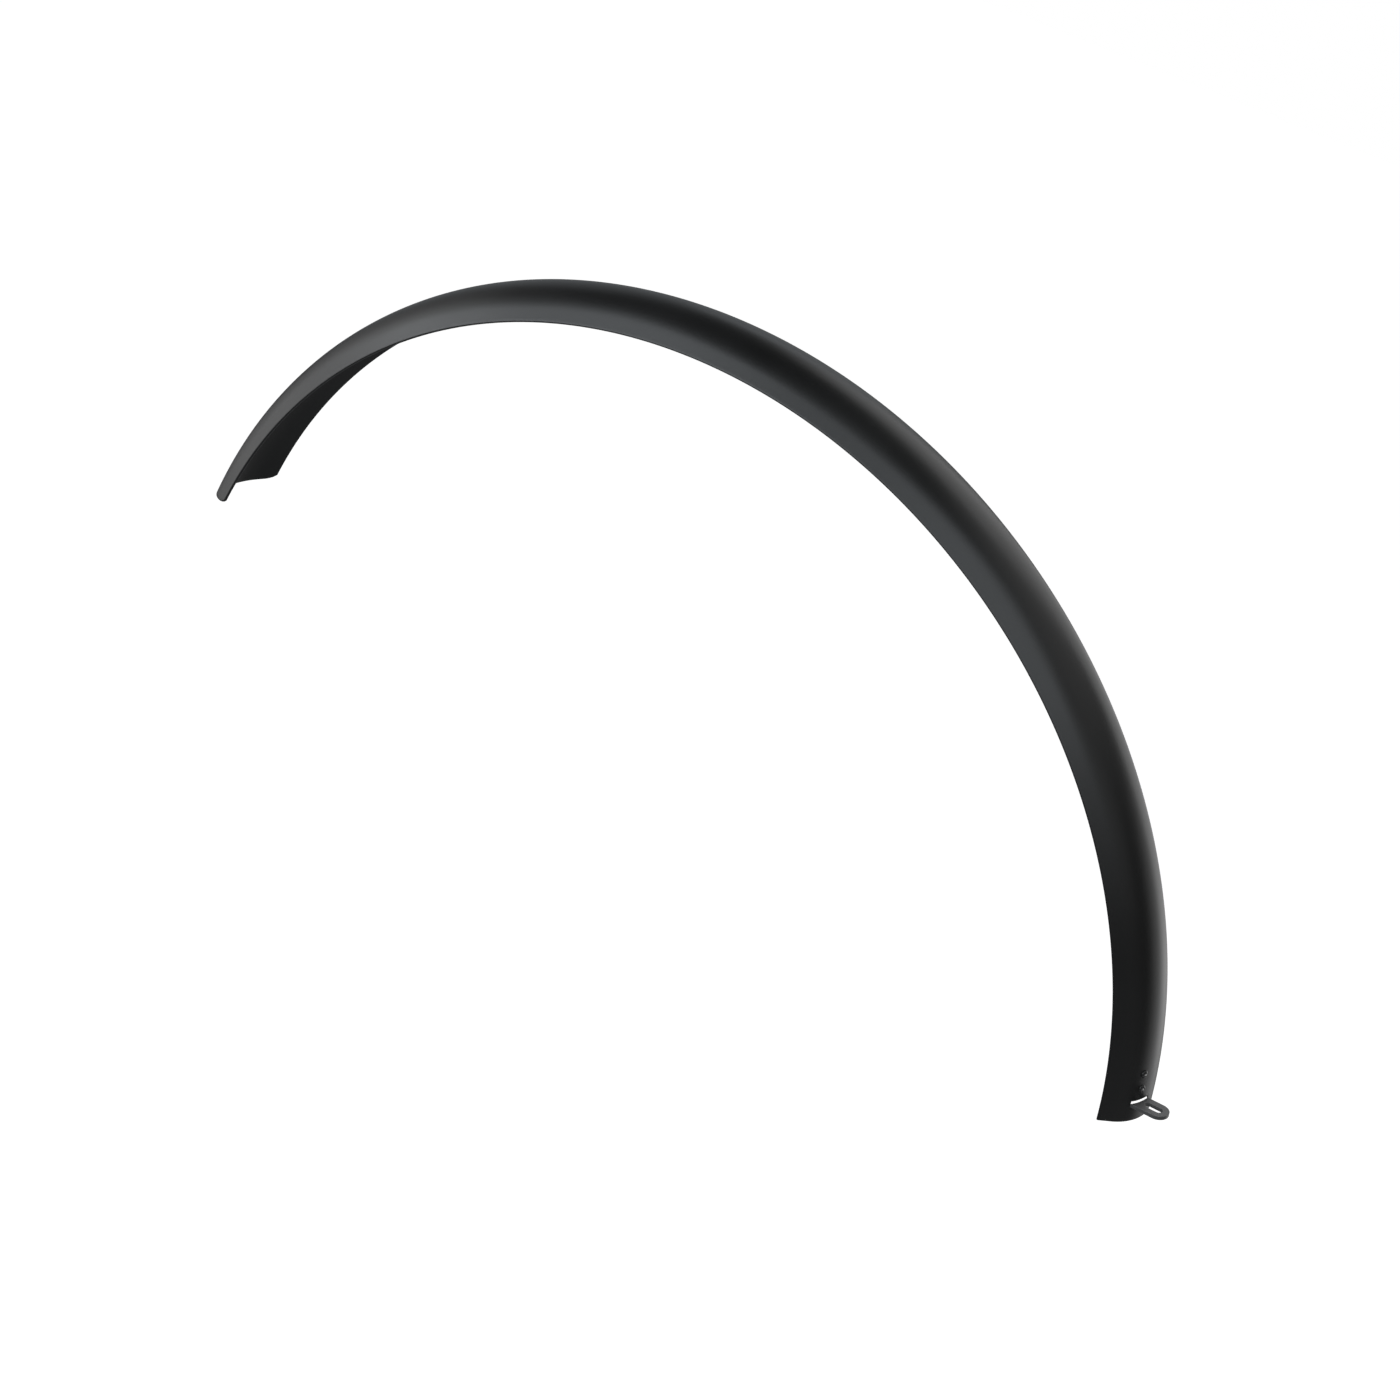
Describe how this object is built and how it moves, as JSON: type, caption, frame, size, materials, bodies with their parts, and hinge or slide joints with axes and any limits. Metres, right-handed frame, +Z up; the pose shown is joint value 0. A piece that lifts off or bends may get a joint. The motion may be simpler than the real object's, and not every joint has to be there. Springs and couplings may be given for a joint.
{
  "type": "bicycle mudguard",
  "caption": "Domed channel mudguard that arches over a bicycle's rear wheel, with a rounded tail and a riveted bracket whose slotted tab bolts to the frame.",
  "frame": {"origin": "centre of the wheel that the mudguard arches over, on its axle, in the middle of the blade", "axes": "+X along the axle to the rider's right, +Y forwards in the plane of the mounting tab, +Z up"},
  "size_m": [0.0544, 0.7386, 0.3802],
  "materials": {
    "blade_plastic": "satin black",
    "bracket_steel": "black powder coat",
    "rivet_body": "black",
    "rivet_mandrel": "broken steel"
  },
  "bodies": {
    "root": {"blade": "blade_plastic", "mounting_bracket": "bracket_steel", "rivet_upper": "rivet_body", "rivet_lower": "rivet_body", "mandrel_upper": "rivet_mandrel", "mandrel_lower": "rivet_mandrel"}
  },
  "joints": []
}
